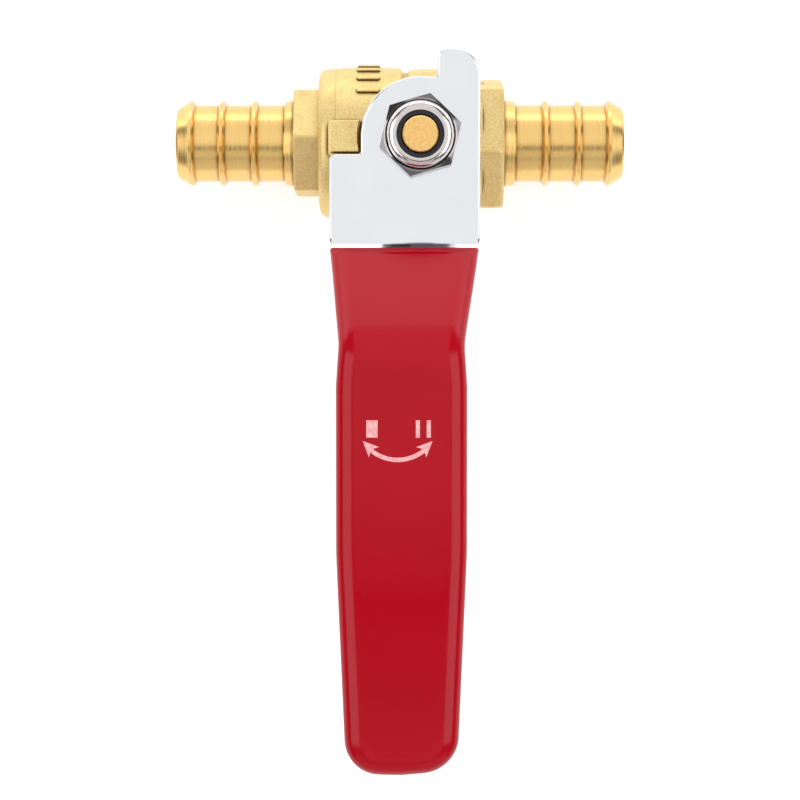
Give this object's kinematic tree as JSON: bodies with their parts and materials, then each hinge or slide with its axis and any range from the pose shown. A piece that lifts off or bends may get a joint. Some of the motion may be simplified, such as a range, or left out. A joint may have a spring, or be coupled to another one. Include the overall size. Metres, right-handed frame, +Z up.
{
  "type": "lever ball valve",
  "caption": "Quarter-turn brass ball valve with barbed spigots at both ends, an offset steel lever in a red dipped grip and a stop lug.",
  "frame": {"origin": "centre of the ball, where the pipe axis and the stem axis cross", "axes": "+X along the pipe towards the outlet spigot that is one piece with the body, +Z up the stem towards the lever, and the shut lever points along -Y"},
  "size_m": [0.0639, 0.0982, 0.0431],
  "materials": {
    "cast_brass": "forged and shot-blasted, turned at the spigot",
    "turned_brass": "turned",
    "stem_brass": "faced flat, satin",
    "ptfe": "waxy white",
    "black_rubber": "smooth",
    "chrome_plate": "polished chrome over brass",
    "zinc_steel": "bright zinc plate",
    "nut_steel": "polished nickel",
    "red_vinyl": "dipped vinyl, semi-gloss",
    "black_nylon": "smooth"
  },
  "bodies": {
    "valve": {"valve_body": "cast_brass", "end_cap": "turned_brass", "seat_ring_inlet": "ptfe", "seat_ring_outlet": "ptfe", "packing_ring_lower": "ptfe", "packing_ring_upper": "ptfe", "packing_gland_nut": "turned_brass", "stem_thrust_washer": "ptfe"},
    "ball": {"ball": "chrome_plate"},
    "handle": {"stem": "stem_brass", "stem_o_ring": "black_rubber", "lever_plate": "zinc_steel", "lever_grip_sleeve": "red_vinyl", "lever_nut": "nut_steel", "nut_nylon_insert": "black_nylon"}
  },
  "joints": [
    {"name": "handle_turn", "type": "hinge", "parent": "valve", "child": "handle", "pos_m": [0, 0, 0], "axis": [0, 0, 1], "range_deg": [0, 90]},
    {"name": "ball_turn", "type": "hinge", "parent": "valve", "child": "ball", "pos_m": [0, 0, 0], "axis": [0, 0, 1], "range_deg": [0, 90]}
  ],
  "couplings": [
    {"joint": "ball_turn", "follows": "handle_turn", "ratio": 1}
  ]
}
